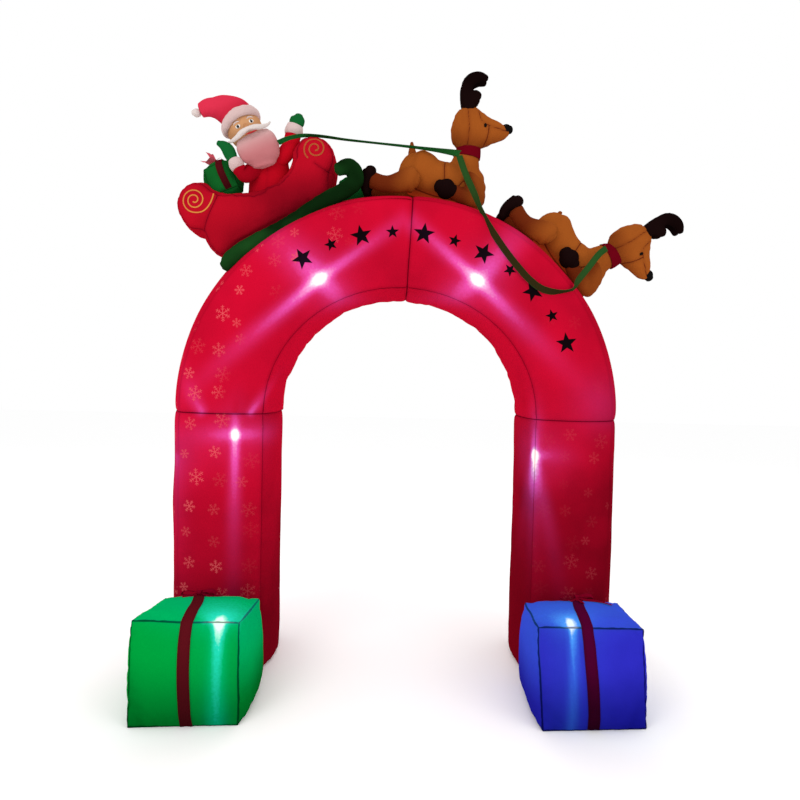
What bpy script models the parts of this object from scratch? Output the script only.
"""A blow-up walk-through yard arch of sewn ripstop cloth, held out by air.

A red padded arch stands on two flat-soled legs. On its curve sit a sleigh with a bearded driver and a
small parcel, and two lying deer, joined by webbing reins. A gift box rests against each foot.

Metres, +Z up. Everything is laid out from the floor under the middle of the arch, with the front
towards -Y, and the whole is shifted at the end so that the origin lies under the middle of its box.
"""

import math
from collections import namedtuple

import bmesh
import bpy
from mathutils import Matrix, Vector

# Driving dimensions
GAP = 0.0004  # clearance between two sewn pieces
SEAM_GAP = 0.0003  # clearance between two lengths of the arch tube
SPRING_HEIGHT = 1.255  # where the straight legs end and the curve starts
LEG_SPREAD = 0.842  # half the distance between the legs' centre lines at the spring seam
FOOT_SPREAD = 0.850  # the same at the floor
RISE = 0.818  # height of the curve's centre line over the spring seam
TUBE_DEPTH = 0.440  # front seam to back seam
SIDE_WIDTH_LEFT = 0.404  # outer seam to inner seam on the left leg
SIDE_WIDTH_RIGHT = 0.370  # the same on the right leg
TOP_WIDTH = 0.420  # the same at the top
FACE_PUFF = 0.050  # how far the front and back panels stand out between their seams
OUTER_PUFF = 0.070  # the same for the outer panel on the legs
OUTER_PUFF_TOP = 0.050  # and at the top of the curve
INNER_PUFF = 0.053
INNER_PUFF_TOP = 0.040
SEAM_DRAW = 0.008  # how far a cross seam pulls the tube in
SEAM_PUFF = 0.90  # share of the full puff that is left at a cross seam
TOP_SEAM_ANGLE = math.radians(2.5)  # the top seam sits a little to the right
PANEL_STEPS = 4  # facets across one panel of the tube
BOW_STEPS = 11  # sections along each half of the curve
CREST = RISE + TOP_WIDTH / 2 + OUTER_PUFF_TOP  # from the curve's centre to its outer crest

BOX_WIDTH = 0.454
BOX_DEPTH = 0.430
BOX_HEIGHT = 0.436
BOX_PUFF = 0.036
BOX_BACK = -0.262  # y of the boxes' back edges, against the legs' front panels
GREEN_BOX_X = -0.866
BLUE_BOX_X = 0.812
RIBBON_WIDTH = 0.050
RIBBON_THICK = 0.003
RIBBON_LOW = 0.006  # how far over the floor a box ribbon ends
RIBBON_BACK_INSET = 0.020  # where it stops short of the box's back edge
BOW_FROM_BACK = 0.055  # from the box's back edge to the middle of its bow

SLEIGH_HALF_DEPTH = 0.150
SLEIGH_EDGE = 0.045  # how far the sleigh's side panels round over
SLEIGH_EDGE_TURNS = (80, 45, 0)  # degrees at which that rounding has a section
RUNNER_RADIUS = 0.036
RUNNER_END_SHARE = 0.78  # how much of that radius is left at a runner's two ends
RUNNER_SPREAD = 0.158  # half the distance between the two runners

DEER_A_ANGLE = math.radians(9.2)  # where each deer sits on the curve, from the top
DEER_B_ANGLE = math.radians(45.5)
DEER_NECK_DROP = {"deer_a": 0.0, "deer_b": math.radians(18.0)}  # how far the neck leans forward

WEBBING_WIDTH = 0.025
WEBBING_THICK = 0.002

Ring = namedtuple("Ring", "x z half deep y", defaults=(0.0,))

COLOURS = {  # name: colour, roughness
    "arch_cloth": ((0.56, 0.015, 0.045, 1.0), 0.50),
    "box_green": ((0.0, 0.30, 0.09, 1.0), 0.50),
    "box_blue": ((0.03, 0.03, 0.60, 1.0), 0.50),
    "ribbon": ((0.16, 0.01, 0.02, 1.0), 0.55),
    "sleigh_cloth": ((0.42, 0.01, 0.02, 1.0), 0.50),
    "runner_cloth": ((0.01, 0.09, 0.02, 1.0), 0.50),
    "skin": ((0.62, 0.32, 0.17, 1.0), 0.60),
    "fluff": ((0.75, 0.60, 0.58, 1.0), 0.90),
    "suit": ((0.50, 0.01, 0.02, 1.0), 0.50),
    "mitten": ((0.01, 0.15, 0.04, 1.0), 0.55),
    "hide": ((0.30, 0.09, 0.02, 1.0), 0.55),
    "hoof": ((0.02, 0.008, 0.01, 1.0), 0.60),
    "collar": ((0.18, 0.005, 0.015, 1.0), 0.55),
    "webbing": ((0.01, 0.18, 0.05, 1.0), 0.65),
}


# Tools

def clear_scene():
    for obj in list(bpy.data.objects):
        bpy.data.objects.remove(obj)


def finish_of(name):
    found = bpy.data.materials.get(name)
    if found:
        return found
    colour, roughness = COLOURS[name]
    made = bpy.data.materials.new(name)
    made.use_nodes = True
    shader = made.node_tree.nodes["Principled BSDF"]
    shader.inputs["Base Color"].default_value = colour
    shader.inputs["Roughness"].default_value = roughness
    shader.inputs["Metallic"].default_value = 0.0
    made.diffuse_color = colour
    return made


def add_object(name, bm, finish, holder=None):
    """Turns a bmesh into a named object of flat facets with its material, under its holder."""
    bmesh.ops.triangulate(bm, faces=bm.faces)
    bmesh.ops.recalc_face_normals(bm, faces=bm.faces)
    if bm.calc_volume(signed=True) < 0:
        bmesh.ops.reverse_faces(bm, faces=bm.faces)
    mesh = bpy.data.meshes.new(name)
    bm.to_mesh(mesh)
    bm.free()
    mesh.materials.append(finish_of(finish))
    mesh.shade_smooth()
    mesh.set_sharp_from_angle(angle=math.radians(40))
    obj = bpy.data.objects.new(name, mesh)
    bpy.context.scene.collection.objects.link(obj)
    obj.parent = holder
    return obj


def add_holder(name, location, rotation=(0, 0, 0), parent=None):
    holder = bpy.data.objects.new(name, None)
    bpy.context.scene.collection.objects.link(holder)
    holder.location = location
    holder.rotation_euler = rotation
    holder.parent = parent
    return holder


def skin_rings(bm, rings, close="round"):
    """Joins rings of points into a closed skin, with a pole or a flat cap at each end."""
    rows = [[bm.verts.new(point) for point in ring] for ring in rings]
    for low, high in zip(rows, rows[1:]):
        for i in range(len(low)):
            j = (i + 1) % len(low)
            bm.faces.new((low[i], low[j], high[j], high[i]))
    for row, inner in ((rows[0], rows[1]), (rows[-1], rows[-2])):
        if close == "flat":
            bm.faces.new(row)
            continue
        middle = sum((v.co for v in row), Vector()) / len(row)
        before = sum((v.co for v in inner), Vector()) / len(inner)
        reach = min((v.co - middle).length for v in row) * 0.55
        pole = bm.verts.new(middle + (middle - before).normalized() * reach)
        for i in range(len(row)):
            bm.faces.new((row[i], row[(i + 1) % len(row)], pole))


def blown_rings(rows, sides):
    """Oval rings across a path in the XZ plane: half is in that plane, deep is along Y."""
    rings = []
    for i, row in enumerate(rows):
        before, after = rows[max(i - 1, 0)], rows[min(i + 1, len(rows) - 1)]
        along = Vector((after.x - before.x, 0, after.z - before.z)).normalized()
        across = Vector((-along.z, 0, along.x))
        middle = Vector((row.x, row.y, row.z))
        ring = []
        for k in range(sides):
            turn = 2 * math.pi * (k + 0.5) / sides
            deep = Vector((0, row.deep * math.sin(turn), 0))
            ring.append(middle + across * row.half * math.cos(turn) + deep)
        rings.append(ring)
    return rings


def blown(name, rows, finish, holder=None, sides=8, shift=0.0):
    """A blown-up piece along a table of rings, moved along Y by shift."""
    rows = [row._replace(y=row.y + shift) for row in rows]
    bm = bmesh.new()
    skin_rings(bm, blown_rings(rows, sides))
    return add_object(name, bm, finish, holder)


def swelled(piece, by, label):
    """A hidden copy of a piece's own mesh, larger all round, to cut its neighbours with."""
    bm = bmesh.new()
    bm.from_mesh(piece.data)
    bm.normal_update()
    moves = [(v, v.normal * by * min(v.calc_shell_factor(), 2.0)) for v in bm.verts]
    for vert, move in moves:
        vert.co += move
    mesh = bpy.data.meshes.new(label)
    bm.to_mesh(mesh)
    bm.free()
    cutter = bpy.data.objects.new(label, mesh)
    bpy.context.scene.collection.objects.link(cutter)
    cutter.parent = piece.parent
    cutter.hide_render = True
    cutter.display_type = "WIRE"
    return cutter


def boolean(piece, operation, other):
    """MANIFOLD, because EXACT leaves open slivers where several thin puffed pieces meet."""
    cut = piece.modifiers.new(operation.lower(), "BOOLEAN")
    cut.operation = operation
    cut.solver = "MANIFOLD"
    cut.object = other


def seat(piece, *neighbours):
    """Cuts a piece back so that it lies a sewing gap away from each neighbour."""
    for other in neighbours:
        label = "clear_of_" + other.name
        cutter = bpy.data.objects.get(label) or swelled(other, GAP, label)
        boolean(piece, "DIFFERENCE", cutter)


def joined(piece, *others):
    """Makes one body of a piece and the helpers that overlap it."""
    for other in others:
        other.hide_render = True
        other.display_type = "WIRE"
        boolean(piece, "UNION", other)
    return piece


def applied(piece):
    """Replaces a piece's mesh with the outcome of its modifiers, so that cutters can follow it."""
    graph = bpy.context.evaluated_depsgraph_get()
    mesh = bpy.data.meshes.new_from_object(piece.evaluated_get(graph))
    piece.modifiers.clear()
    piece.data = mesh
    return piece


# Arch tube

def tube_section(width, outer_puff, inner_puff, inset):
    """(outward, depth) points round the four panels of the tube, starting at a seam."""
    half_w = width / 2 - inset
    half_t = TUBE_DEPTH / 2 - inset
    points = []
    for k in range(PANEL_STEPS):
        s = 2 * k / PANEL_STEPS - 1
        points.append((half_w * s, -half_t - FACE_PUFF * (1 - s * s)))
    for k in range(PANEL_STEPS):
        s = 2 * k / PANEL_STEPS - 1
        points.append((half_w + outer_puff * (1 - s * s), half_t * s))
    for k in range(PANEL_STEPS):
        s = 2 * k / PANEL_STEPS - 1
        points.append((-half_w * s, half_t + FACE_PUFF * (1 - s * s)))
    for k in range(PANEL_STEPS):
        s = 2 * k / PANEL_STEPS - 1
        points.append((-half_w - inner_puff * (1 - s * s), -half_t * s))
    return points


def tube_ring(centre, outward, section):
    return [centre + outward * u + Vector((0, v, 0)) for u, v in section]


LegRow = namedtuple("LegRow", "height inset puff")
LEG_ROWS = (  # height of the section, how far its outline is drawn in, share of the full puff
    LegRow(0.000, 0.012, 0.78),
    LegRow(0.010, 0.003, 0.90),
    LegRow(0.040, 0.000, 0.98),
    LegRow(0.110, 0.000, 1.00),
    LegRow(0.480, 0.000, 1.00),
    LegRow(0.850, 0.000, 1.00),
    LegRow(1.140, 0.000, 1.00),
    LegRow(1.225, 0.002, 0.97),
    LegRow(SPRING_HEIGHT - SEAM_GAP / 2, SEAM_DRAW, SEAM_PUFF),
)


def add_leg(name, side, width, holder):
    rings = []
    for row in LEG_ROWS:
        share = row.height / SPRING_HEIGHT
        spread = FOOT_SPREAD + (LEG_SPREAD - FOOT_SPREAD) * share
        section = tube_section(width, OUTER_PUFF * row.puff, INNER_PUFF * row.puff, row.inset)
        rings.append(tube_ring(Vector((side * spread, 0, row.height)), Vector((side, 0, 0)), section))
    bm = bmesh.new()
    skin_rings(bm, rings, close="flat")
    return add_object(name, bm, "arch_cloth", holder)


def bow_centre(angle):
    """Centre line of the curve, by the angle from the top."""
    return Vector((LEG_SPREAD * math.sin(angle), 0, SPRING_HEIGHT + RISE * math.cos(angle)))


def add_bow(name, start, end, side_width, holder):
    """One half of the curve, from the spring seam to the top seam."""
    rings = []
    for k in range(BOW_STEPS + 1):
        share = k / BOW_STEPS
        angle = start + (end - start) * share
        gap = SEAM_GAP / 2 / RISE * (1 if end > start else -1)
        if k == 0:
            angle += gap
        if k == BOW_STEPS:
            angle -= gap
        lean = math.cos(angle) ** 2
        width = side_width + (TOP_WIDTH - side_width) * lean
        inner = INNER_PUFF + (INNER_PUFF_TOP - INNER_PUFF) * lean
        outer = OUTER_PUFF + (OUTER_PUFF_TOP - OUTER_PUFF) * lean
        drawn = k in (0, BOW_STEPS)
        puff = SEAM_PUFF if drawn else 1.0
        section = tube_section(width, outer * puff, inner * puff, SEAM_DRAW if drawn else 0.0)
        outward = Vector((math.sin(angle), 0, math.cos(angle)))
        rings.append(tube_ring(bow_centre(angle), outward, section))
    bm = bmesh.new()
    skin_rings(bm, rings, close="flat")
    return add_object(name, bm, "arch_cloth", holder)


def add_arch(holder):
    left_end, right_end = -math.pi / 2, math.pi / 2
    return {
        "leg_left": add_leg("arch_leg_left", -1, SIDE_WIDTH_LEFT, holder),
        "leg_right": add_leg("arch_leg_right", 1, SIDE_WIDTH_RIGHT, holder),
        "bow_left": add_bow("arch_bow_left", left_end, TOP_SEAM_ANGLE, SIDE_WIDTH_LEFT, holder),
        "bow_right": add_bow("arch_bow_right", right_end, TOP_SEAM_ANGLE, SIDE_WIDTH_RIGHT, holder),
    }


# Gift boxes

def puffed_box(name, size, puff, finish, holder, cells=4, flat_base=True):
    """A cube of six sewn panels, each standing out in the middle and flat underneath."""
    bm = bmesh.new()
    bmesh.ops.create_cube(bm, size=2.0)
    bmesh.ops.subdivide_edges(bm, edges=bm.edges, cuts=cells - 1, use_grid_fill=True)
    half = Vector(size) / 2
    for vert in bm.verts:
        a, b, c = vert.co
        fall = ((1 - b * b) * (1 - c * c), (1 - a * a) * (1 - c * c), (1 - a * a) * (1 - b * b))
        push = Vector([math.copysign(fall[i], vert.co[i]) * (abs(vert.co[i]) > 0.999) for i in range(3)])
        if flat_base and c < -0.999:
            push.z = 0.0
        vert.co = Vector((a * half.x, b * half.y, c * half.z)) + push * puff
    return add_object(name, bm, finish, holder)


def slab(name, size, centre, finish, holder):
    bm = bmesh.new()
    bmesh.ops.create_cube(bm, size=1.0)
    for vert in bm.verts:
        vert.co = Vector([vert.co[i] * size[i] + centre[i] for i in range(3)])
    return add_object(name, bm, finish, holder)


def wrap_ribbon(name, box, size, width, x, low, back, holder):
    """A ribbon that lies on the box, front to back over its top, down to the height low."""
    reach = 2 * RIBBON_THICK + BOX_PUFF
    tall = size[2] / 2 + reach - low
    long = size[1] / 2 + reach + back
    centre = (x, (back - size[1] / 2 - reach) / 2, low + tall / 2)
    ribbon = slab(name, (width, long, tall), centre, "ribbon", holder)
    boolean(ribbon, "INTERSECT", swelled(box, GAP + RIBBON_THICK, name + "_outer"))
    boolean(ribbon, "DIFFERENCE", swelled(box, GAP, name + "_inner"))
    return ribbon


BOW_KNOT = (
    Ring(0.000, -0.001, 0.012, 0.012),
    Ring(0.000, 0.012, 0.019, 0.019),
    Ring(0.000, 0.026, 0.011, 0.011),
)
BOW_LOOP = (  # a flat loop, from the knot outwards along X
    Ring(0.000, 0.006, 0.005, 0.016),
    Ring(0.036, 0.014, 0.012, 0.024),
    Ring(0.082, 0.012, 0.006, 0.016),
)
BOW_TAIL = (
    Ring(0.004, 0.004, 0.003, 0.016),
    Ring(0.065, 0.002, 0.003, 0.016, -0.020),
    Ring(0.130, -0.004, 0.003, 0.016, -0.050),
)


def flipped(rows):
    return [row._replace(x=-row.x) for row in rows]


def scaled_rows(rows, by):
    return [Ring(*[value * by for value in row]) for row in rows]


def add_bow_knot(name, centre, tail_side, holder, by=1.0):
    """A tied bow: two flat loops, a knot and a tail to one side."""
    place = add_holder(name + "_place", centre, parent=holder)
    knot = blown(name, scaled_rows(BOW_KNOT, by), "ribbon", place, sides=6)
    left = blown(name + "_loop_left", scaled_rows(flipped(BOW_LOOP), by), "ribbon", place, sides=6)
    right = blown(name + "_loop_right", scaled_rows(BOW_LOOP, by), "ribbon", place, sides=6)
    tail_rows = BOW_TAIL if tail_side > 0 else flipped(BOW_TAIL)
    tail = blown(name + "_tail", scaled_rows(tail_rows, by), "ribbon", place, sides=6)
    return joined(knot, left, right, tail)


GiftRow = namedtuple("GiftRow", "name finish x leg ribbon_shift tail_side")
GIFTS = (  # ribbon_shift is from the box's middle, tail_side is +1 towards +X
    GiftRow("gift_green", "box_green", GREEN_BOX_X, "leg_left", 0.010, 1),
    GiftRow("gift_blue", "box_blue", BLUE_BOX_X, "leg_right", 0.005, 1),
)


def add_gift(row, leg, holder):
    size = (BOX_WIDTH, BOX_DEPTH, BOX_HEIGHT)
    name, ribbon_shift = row.name, row.ribbon_shift
    centre = (row.x, BOX_BACK - BOX_DEPTH / 2, BOX_HEIGHT / 2)
    place = add_holder(name + "_place", centre, parent=holder)
    box = puffed_box(name + "_box", size, BOX_PUFF, row.finish, place)
    seat(box, leg)
    low = RIBBON_LOW - BOX_HEIGHT / 2
    back = BOX_DEPTH / 2 - RIBBON_BACK_INSET
    ribbon = wrap_ribbon(name + "_ribbon", box, size, RIBBON_WIDTH, ribbon_shift, low, back, place)
    top = BOX_HEIGHT / 2 + BOX_PUFF * 0.45 + RIBBON_THICK
    knot = (ribbon_shift, BOX_DEPTH / 2 - BOW_FROM_BACK, top)
    bow = add_bow_knot(name + "_bow", knot, row.tail_side, place)
    seat(bow, box, applied(ribbon), leg)
    return box


# Sleigh

SLEIGH_OUTLINE = (  # x and z of the side panel's edge: rear scroll, rim, front scroll, base
    (-1.078, 2.244), (-1.059, 2.310), (-1.013, 2.349), (-0.962, 2.351), (-0.917, 2.322), (-0.871, 2.293),
    (-0.800, 2.294), (-0.729, 2.302), (-0.638, 2.339), (-0.562, 2.391), (-0.521, 2.452), (-0.504, 2.533),
    (-0.468, 2.580), (-0.417, 2.588), (-0.366, 2.554), (-0.341, 2.493), (-0.342, 2.402), (-0.354, 2.310),
    (-0.445, 2.244), (-0.607, 2.158), (-0.770, 2.067), (-0.881, 2.002), (-0.937, 2.057), (-0.967, 2.113),
    (-1.028, 2.133), (-1.064, 2.184),
)


def inset_outline(points, by):
    """The outline moved inwards along its own normals."""
    moved = []
    for i, point in enumerate(points):
        before = Vector(points[i - 1])
        after = Vector(points[(i + 1) % len(points)])
        along = (after - before).normalized()
        moved.append((point[0] + along.y * by, point[1] - along.x * by))
    return moved


def add_sleigh_body(holder):
    """Two side panels and a round edge all the way about them."""
    rings = []
    flat = SLEIGH_HALF_DEPTH - SLEIGH_EDGE
    turns = [math.radians(a) for a in SLEIGH_EDGE_TURNS]
    depths = [(-flat - SLEIGH_EDGE * math.sin(t), SLEIGH_EDGE * (1 - math.cos(t))) for t in turns]
    depths += [(-y, inset) for y, inset in reversed(depths)]
    for y, inset in depths:
        rings.append([Vector((x, y, z)) for x, z in inset_outline(SLEIGH_OUTLINE, inset)])
    bm = bmesh.new()
    skin_rings(bm, rings, close="flat")
    return add_object("sleigh_body", bm, "sleigh_cloth", holder)


RUNNER_PATH = (  # x and z along a runner's middle, from its tail to the end of the curl
    (-0.836, 1.955), (-0.815, 1.985), (-0.770, 2.022), (-0.715, 2.056), (-0.600, 2.122), (-0.480, 2.196),
    (-0.380, 2.268), (-0.300, 2.315), (-0.252, 2.350), (-0.228, 2.392), (-0.240, 2.432), (-0.275, 2.448),
    (-0.312, 2.436),
)


def add_runner(name, shift, holder):
    last = len(RUNNER_PATH) - 1
    rows = []
    for i, (x, z) in enumerate(RUNNER_PATH):
        radius = RUNNER_RADIUS * (RUNNER_END_SHARE if i in (0, last) else 1.0)
        rows.append(Ring(x, z, radius, radius))
    return blown(name, rows, "runner_cloth", holder, shift=shift)


SMALL_GIFT_SIZE = (0.150, 0.150, 0.150)
SMALL_GIFT_PUFF = 0.018
SMALL_RIBBON_WIDTH = 0.032
SMALL_RIBBON_LOW = -0.065  # its front end and its back end, from the parcel's middle
SMALL_RIBBON_BACK = 0.060
SMALL_BOW_CENTRE = (0.0, -0.010, 0.0965)
SMALL_BOW_SCALE = 0.42
SMALL_GIFT_PLACE = (-0.862, -0.020, 2.392)
SMALL_GIFT_TILT = math.radians(28)


def add_small_gift(holder):
    place = add_holder("small_gift_place", SMALL_GIFT_PLACE, (0, SMALL_GIFT_TILT, 0), holder)
    size = SMALL_GIFT_SIZE
    box = puffed_box("small_gift_box", size, SMALL_GIFT_PUFF, "box_green", place, cells=3, flat_base=False)
    ribbon = wrap_ribbon("small_gift_ribbon", box, size, SMALL_RIBBON_WIDTH, 0.0, SMALL_RIBBON_LOW,
                         SMALL_RIBBON_BACK, place)
    bow = add_bow_knot("small_gift_bow", SMALL_BOW_CENTRE, 1, place, by=SMALL_BOW_SCALE)
    seat(bow, applied(ribbon), box)
    return box, ribbon, bow


# Driver

TORSO = (
    Ring(-0.662, 2.240, 0.085, 0.078),
    Ring(-0.662, 2.275, 0.104, 0.094),
    Ring(-0.660, 2.350, 0.110, 0.100),
    Ring(-0.658, 2.430, 0.104, 0.094),
    Ring(-0.662, 2.500, 0.086, 0.078),
    Ring(-0.680, 2.550, 0.056, 0.056),
)
ARM_RIGHT = (  # the raised arm, on the +X side
    Ring(-0.640, 2.470, 0.036, 0.040, -0.030),
    Ring(-0.590, 2.505, 0.042, 0.044, -0.045),
    Ring(-0.556, 2.550, 0.042, 0.042, -0.055),
    Ring(-0.540, 2.600, 0.040, 0.040, -0.060),
)
CUFF_RIGHT = (
    Ring(-0.541, 2.599, 0.038, 0.038, -0.060),
    Ring(-0.537, 2.612, 0.045, 0.045, -0.060),
    Ring(-0.531, 2.632, 0.045, 0.045, -0.060),
    Ring(-0.528, 2.646, 0.038, 0.038, -0.060),
)
MITTEN_RIGHT = (
    Ring(-0.528, 2.645, 0.034, 0.034, -0.060),
    Ring(-0.524, 2.662, 0.039, 0.034, -0.060),
    Ring(-0.518, 2.684, 0.030, 0.026, -0.060),
    Ring(-0.514, 2.700, 0.014, 0.014, -0.060),
)
ARM_LEFT = (
    Ring(-0.690, 2.480, 0.034, 0.036, -0.050),
    Ring(-0.735, 2.440, 0.040, 0.040, -0.085),
    Ring(-0.765, 2.430, 0.040, 0.040, -0.110),
    Ring(-0.790, 2.447, 0.036, 0.036, -0.125),
)
CUFF_LEFT = (
    Ring(-0.786, 2.444, 0.036, 0.036, -0.124),
    Ring(-0.798, 2.458, 0.044, 0.044, -0.130),
    Ring(-0.812, 2.478, 0.042, 0.042, -0.136),
    Ring(-0.818, 2.488, 0.034, 0.034, -0.138),
)
MITTEN_LEFT = (
    Ring(-0.818, 2.487, 0.030, 0.028, -0.138),
    Ring(-0.830, 2.502, 0.036, 0.030, -0.140),
    Ring(-0.858, 2.526, 0.030, 0.026, -0.140),
    Ring(-0.888, 2.545, 0.016, 0.016, -0.138),
)
HEAD_PLACE = (-0.771, -0.060, 2.618)
HEAD_TURN = (0, math.radians(-27), math.radians(12))
HEAD = (  # from chin to top, in the head's own frame
    Ring(0.0, -0.080, 0.040, 0.042),
    Ring(0.0, -0.055, 0.070, 0.068),
    Ring(0.0, -0.010, 0.088, 0.086),
    Ring(0.0, 0.035, 0.086, 0.086),
    Ring(0.0, 0.070, 0.062, 0.064),
    Ring(0.0, 0.086, 0.034, 0.036),
)
BEARD = (
    Ring(0.010, -0.024, 0.070, 0.018, -0.080),
    Ring(0.014, -0.054, 0.092, 0.040, -0.084),
    Ring(0.020, -0.098, 0.104, 0.050, -0.076),
    Ring(0.026, -0.148, 0.088, 0.042, -0.068),
    Ring(0.028, -0.180, 0.050, 0.024, -0.064),
)
MOUSTACHE = (
    Ring(-0.080, -0.044, 0.007, 0.008, -0.082),
    Ring(-0.050, -0.034, 0.014, 0.013, -0.106),
    Ring(0.004, -0.024, 0.014, 0.015, -0.122),
    Ring(0.058, -0.034, 0.014, 0.013, -0.106),
    Ring(0.088, -0.044, 0.007, 0.008, -0.082),
)
TRIM_RADIUS = 0.091
TRIM_THICK = 0.021
TRIM_HEIGHT = 0.056
TRIM_FACETS = (12, 5)  # round the head, and round the roll
HAT = (  # from inside the trim to the drooping point
    Ring(0.000, 0.070, 0.020, 0.020),
    Ring(0.000, 0.074, 0.086, 0.086),
    Ring(-0.014, 0.106, 0.084, 0.084),
    Ring(-0.045, 0.142, 0.070, 0.074),
    Ring(-0.085, 0.170, 0.050, 0.056),
    Ring(-0.125, 0.188, 0.034, 0.038),
    Ring(-0.153, 0.196, 0.020, 0.022),
)
POMPOM = (
    Ring(-0.162, 0.190, 0.016, 0.016),
    Ring(-0.171, 0.181, 0.027, 0.027),
    Ring(-0.186, 0.168, 0.027, 0.027),
    Ring(-0.196, 0.159, 0.016, 0.016),
)


def add_trim(holder):
    """The hat's rolled edge: a ring about the head's upright axis."""
    bm = bmesh.new()
    around, across = TRIM_FACETS
    rows = []
    for i in range(around):
        turn = 2 * math.pi * i / around
        row = []
        for k in range(across):
            roll = 2 * math.pi * k / across
            out = TRIM_RADIUS + TRIM_THICK * math.cos(roll)
            up = TRIM_HEIGHT + TRIM_THICK * math.sin(roll)
            row.append(bm.verts.new((out * math.cos(turn), out * math.sin(turn), up)))
        rows.append(row)
    for i in range(around):
        low, high = rows[i], rows[(i + 1) % around]
        for k in range(across):
            j = (k + 1) % across
            bm.faces.new((low[k], low[j], high[j], high[k]))
    return add_object("driver_hat_trim", bm, "fluff", holder)


def add_driver(holder, sleigh, parcel):
    torso = blown("driver_torso", TORSO, "suit", holder)
    seat(torso, sleigh, *parcel[:2])
    head_place = add_holder("driver_head_place", HEAD_PLACE, HEAD_TURN, holder)
    head = blown("driver_head", HEAD, "skin", head_place)
    trim = add_trim(head_place)
    hat = blown("driver_hat", HAT, "suit", head_place)
    pompom = blown("driver_pompom", POMPOM, "fluff", head_place, sides=6)
    beard = blown("driver_beard", BEARD, "fluff", head_place)
    moustache = blown("driver_moustache", MOUSTACHE, "fluff", head_place, sides=6)
    seat(trim, head)
    seat(hat, head, trim)
    seat(pompom, hat)
    seat(head, torso)
    seat(beard, head, torso)
    seat(moustache, head, beard)
    limbs = (
        ("right", ARM_RIGHT, CUFF_RIGHT, MITTEN_RIGHT),
        ("left", ARM_LEFT, CUFF_LEFT, MITTEN_LEFT),
    )
    for side, arm_rows, cuff_rows, mitten_rows in limbs:
        arm = blown("driver_arm_" + side, arm_rows, "suit", holder)
        cuff = blown("driver_cuff_" + side, cuff_rows, "fluff", holder)
        mitten = blown("driver_mitten_" + side, mitten_rows, "mitten", holder)
        seat(arm, torso, head, beard, sleigh, *parcel[:2])
        seat(cuff, arm, beard, head, *parcel[:2])
        seat(mitten, cuff, beard, head)
    return beard


# Deer: x runs forward along the arch, z away from it, both from the crest under the deer

DEER_TORSO = (
    Ring(-0.206, 0.128, 0.034, 0.036),
    Ring(-0.188, 0.122, 0.076, 0.070),
    Ring(-0.150, 0.112, 0.106, 0.095),
    Ring(-0.090, 0.104, 0.108, 0.100),
    Ring(-0.010, 0.094, 0.102, 0.096),
    Ring(0.070, 0.094, 0.112, 0.096),
    Ring(0.140, 0.092, 0.112, 0.086),
    Ring(0.180, 0.088, 0.090, 0.068),
    Ring(0.198, 0.084, 0.050, 0.040),
)
DEER_NECK_PIVOT = (0.090, 0.110)  # the neck, collar, head and antlers are given from here
DEER_NECK = (
    Ring(0.022, 0.000, 0.070, 0.062),
    Ring(0.016, 0.070, 0.078, 0.068),
    Ring(0.014, 0.115, 0.070, 0.060),
    Ring(0.016, 0.152, 0.060, 0.052),
    Ring(0.020, 0.210, 0.050, 0.044),
)
DEER_COLLAR = (
    Ring(0.0145, 0.128, 0.071, 0.061),
    Ring(0.0160, 0.150, 0.068, 0.058),
    Ring(0.0175, 0.174, 0.061, 0.053),
)
DEER_HEAD = (  # from the back of the skull to the nose
    Ring(-0.087, 0.272, 0.034, 0.032),
    Ring(-0.070, 0.271, 0.068, 0.056),
    Ring(-0.034, 0.270, 0.096, 0.074),
    Ring(0.016, 0.268, 0.102, 0.078),
    Ring(0.064, 0.265, 0.082, 0.066),
    Ring(0.114, 0.265, 0.060, 0.048),
    Ring(0.162, 0.274, 0.038, 0.032),
    Ring(0.192, 0.286, 0.020, 0.018),
)
DEER_ANTLER = (
    Ring(-0.010, 0.350, 0.020, 0.016),
    Ring(-0.024, 0.395, 0.028, 0.019),
    Ring(-0.040, 0.442, 0.033, 0.021),
    Ring(-0.034, 0.490, 0.032, 0.021),
    Ring(-0.002, 0.524, 0.026, 0.019),
    Ring(0.042, 0.533, 0.014, 0.014),
)
DEER_PRONG = (
    Ring(-0.034, 0.402, 0.020, 0.015),
    Ring(-0.004, 0.420, 0.022, 0.016),
    Ring(0.021, 0.440, 0.012, 0.012),
)
ANTLER_SPREAD = 0.030
DEER_TAIL = (
    Ring(-0.166, 0.196, 0.016, 0.014),
    Ring(-0.170, 0.226, 0.021, 0.016),
    Ring(-0.176, 0.256, 0.015, 0.012),
    Ring(-0.180, 0.274, 0.007, 0.007),
)
LEG_SHIFT = 0.092  # from the middle of the deer to its legs
HOOF_SPREAD = 1.1  # how many times that the folded front hooves stand out
DEER_HIND_LEG = (
    Ring(-0.098, 0.062, 0.040, 0.032),
    Ring(-0.118, 0.060, 0.060, 0.046),
    Ring(-0.160, 0.054, 0.066, 0.050),
    Ring(-0.215, 0.038, 0.052, 0.044),
    Ring(-0.280, 0.022, 0.046, 0.040),
    Ring(-0.330, 0.016, 0.042, 0.038),
)
DEER_HIND_HOOF = (
    Ring(-0.374, -0.036, 0.020, 0.030),
    Ring(-0.370, -0.016, 0.033, 0.040),
    Ring(-0.362, 0.018, 0.036, 0.044),
    Ring(-0.348, 0.050, 0.030, 0.040),
    Ring(-0.336, 0.070, 0.017, 0.026),
)
DEER_UPPER_FORELEG = (
    Ring(0.124, 0.128, 0.030, 0.026),
    Ring(0.142, 0.104, 0.044, 0.038),
    Ring(0.166, 0.066, 0.046, 0.042),
    Ring(0.180, 0.034, 0.040, 0.038),
)
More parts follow.
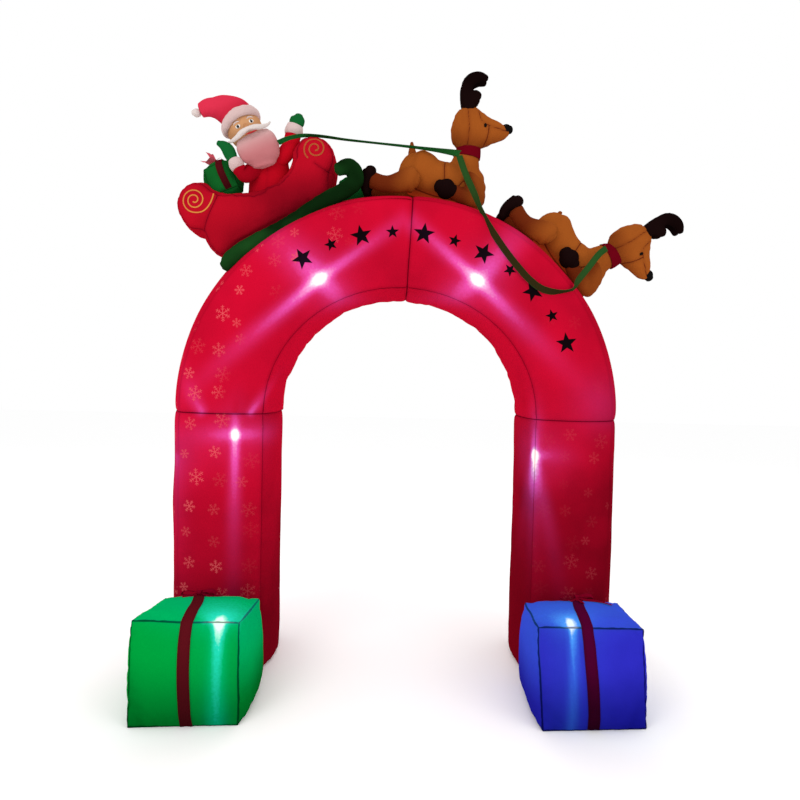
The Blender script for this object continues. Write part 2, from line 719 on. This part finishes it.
DEER_LOWER_FORELEG = (
    Ring(0.202, 0.020, 0.026, 0.026),
    Ring(0.186, 0.020, 0.038, 0.036),
    Ring(0.140, 0.026, 0.042, 0.040),
    Ring(0.080, 0.034, 0.040, 0.038),
    Ring(0.054, 0.038, 0.034, 0.034),
)
DEER_FORE_HOOF = (
    Ring(0.064, 0.039, 0.034, 0.034),
    Ring(0.046, 0.041, 0.048, 0.044),
    Ring(0.014, 0.046, 0.049, 0.046),
    Ring(-0.006, 0.050, 0.034, 0.034),
)


def add_deer(name, angle, bows, holder):
    origin = (CREST * math.sin(angle), 0, SPRING_HEIGHT + CREST * math.cos(angle))
    place = add_holder(name + "_place", origin, (0, angle, 0), holder)
    pivot = (DEER_NECK_PIVOT[0], 0, DEER_NECK_PIVOT[1])
    neck_place = add_holder(name + "_neck_place", pivot, (0, DEER_NECK_DROP[name], 0), place)
    body = blown(name + "_body", DEER_TORSO, "hide", place)
    neck = blown(name + "_neck_helper", DEER_NECK, "hide", neck_place)
    joined(body, neck)
    head = blown(name + "_head", DEER_HEAD, "hide", neck_place)
    collar = blown(name + "_collar", DEER_COLLAR, "collar", neck_place)
    tail = blown(name + "_tail", DEER_TAIL, "hide", place, sides=6)
    seat(collar, body, neck, head)
    seat(head, body, neck)
    seat(tail, body)
    for side, shift in (("left", -ANTLER_SPREAD), ("right", ANTLER_SPREAD)):
        antler = blown(name + "_antler_" + side, DEER_ANTLER, "hoof", neck_place, sides=6, shift=shift)
        prong = blown(name + "_prong_helper_" + side, DEER_PRONG, "hoof", neck_place, sides=6, shift=shift)
        seat(joined(antler, prong), head)
    limbs = []
    for side, shift in (("near", -LEG_SHIFT), ("far", LEG_SHIFT)):
        hind = blown(name + "_leg_hind_" + side, DEER_HIND_LEG, "hide", place, sides=6, shift=shift)
        fore = blown(name + "_leg_fore_" + side, DEER_LOWER_FORELEG, "hide", place, sides=6, shift=shift)
        upper = blown(name + "_upper_helper_" + side, DEER_UPPER_FORELEG, "hide", place, sides=6, shift=shift)
        joined(fore, upper)
        hind_hoof = blown(name + "_hoof_hind_" + side, DEER_HIND_HOOF, "hoof", place, sides=6, shift=shift)
        out = shift * HOOF_SPREAD
        fore_hoof = blown(name + "_hoof_fore_" + side, DEER_FORE_HOOF, "hoof", place, sides=6, shift=out)
        seat(hind, body)
        seat(fore, body, neck)
        seat(hind_hoof, hind, body)
        seat(fore_hoof, fore, upper, body)
        limbs += [hind, fore, hind_hoof, fore_hoof]
    for piece in [body] + limbs:
        seat(piece, *bows)
    return {"body": body, "neck": neck, "collar": collar, "hooves": [limbs[2], limbs[6]]}


# Reins

Webbing = namedtuple("Webbing", "x y z turn")
REIN_1 = (  # the strap's middle, and its turn about its own length from lying flat, in degrees
    Webbing(-0.605, -0.104, 2.558, 70),
    Webbing(-0.560, -0.118, 2.575, 60),
    Webbing(-0.500, -0.112, 2.592, 45),
    Webbing(-0.430, -0.080, 2.606, 25),
    Webbing(-0.275, -0.074, 2.590, 20),
    Webbing(-0.130, -0.072, 2.580, 25),
    Webbing(0.000, -0.068, 2.573, 35),
    Webbing(0.110, -0.062, 2.566, 55),
    Webbing(0.200, -0.054, 2.556, 75),
    Webbing(0.285, -0.040, 2.546, 85),
)
REIN_2 = (
    Webbing(0.285, -0.044, 2.522, 88),
    Webbing(0.276, -0.082, 2.490, 88),
    Webbing(0.289, -0.118, 2.446, 88),
    Webbing(0.322, -0.146, 2.352, 88),
    Webbing(0.364, -0.160, 2.262, 75),
    Webbing(0.388, -0.226, 2.222, 65),
    Webbing(0.412, -0.247, 2.166, 78),
    Webbing(0.461, -0.262, 2.075, 85),
    Webbing(0.535, -0.271, 1.987, 88),
    Webbing(0.629, -0.274, 1.893, 88),
    Webbing(0.700, -0.269, 1.863, 88),
    Webbing(0.775, -0.250, 1.866, 84),
    Webbing(0.826, -0.216, 1.906, 70),
    Webbing(0.880, -0.168, 1.975, 80),
    Webbing(0.950, -0.120, 2.045, 85),
    Webbing(1.040, -0.046, 2.080, 88),
)


def add_rein(name, rows, holder):
    """A flat strap along a route, turned about its own length."""
    rings = []
    for i, row in enumerate(rows):
        before, after = rows[max(i - 1, 0)], rows[min(i + 1, len(rows) - 1)]
        along = Vector((after.x - before.x, after.y - before.y, after.z - before.z)).normalized()
        level = along.cross(Vector((0, 0, 1))).normalized()
        wide = Matrix.Rotation(math.radians(row.turn), 3, along) @ level
        thick = along.cross(wide)
        middle = Vector((row.x, row.y, row.z))
        a, b = wide * WEBBING_WIDTH / 2, thick * WEBBING_THICK / 2
        rings.append([middle + a + b, middle - a + b, middle - a - b, middle + a - b])
    bm = bmesh.new()
    skin_rings(bm, rings, close="flat")
    return add_object(name, bm, "webbing", holder)


# Whole

def centre_on_box(holder):
    """Moves everything so that the origin is under the middle of the whole."""
    bpy.context.view_layer.update()
    graph = bpy.context.evaluated_depsgraph_get()
    corners = []
    for obj in bpy.context.scene.objects:
        if obj.type != "MESH" or obj.hide_render:
            continue
        done = obj.evaluated_get(graph)
        corners += [done.matrix_world @ v.co for v in done.data.vertices]
    low = [min(c[i] for c in corners) for i in range(3)]
    high = [max(c[i] for c in corners) for i in range(3)]
    holder.location = (-(low[0] + high[0]) / 2, -(low[1] + high[1]) / 2, -low[2])


def main():
    clear_scene()
    whole = add_holder("whole", (0, 0, 0))
    arch = add_arch(whole)
    bows = (arch["bow_left"], arch["bow_right"])
    for row in GIFTS:
        add_gift(row, arch[row.leg], whole)
    runners = [add_runner("sleigh_runner_near", -RUNNER_SPREAD, whole)]
    runners.append(add_runner("sleigh_runner_far", RUNNER_SPREAD, whole))
    sleigh = add_sleigh_body(whole)
    seat(sleigh, *runners, *bows)
    for runner in runners:
        seat(runner, *bows)
    small_gift = add_small_gift(whole)
    for piece in small_gift:
        seat(piece, sleigh)
    beard = add_driver(whole, sleigh, small_gift)
    deer_a = add_deer("deer_a", DEER_A_ANGLE, bows, whole)
    deer_b = add_deer("deer_b", DEER_B_ANGLE, bows, whole)
    for hoof, runner in zip(deer_a["hooves"], runners):
        seat(hoof, runner)
    front_rein = add_rein("rein_1", REIN_1, whole)
    seat(front_rein, beard, deer_a["collar"], deer_a["neck"])
    back_rein = add_rein("rein_2", REIN_2, whole)
    seat(back_rein, deer_a["collar"], deer_a["neck"], deer_a["body"], deer_b["collar"], deer_b["neck"])
    centre_on_box(whole)


main()
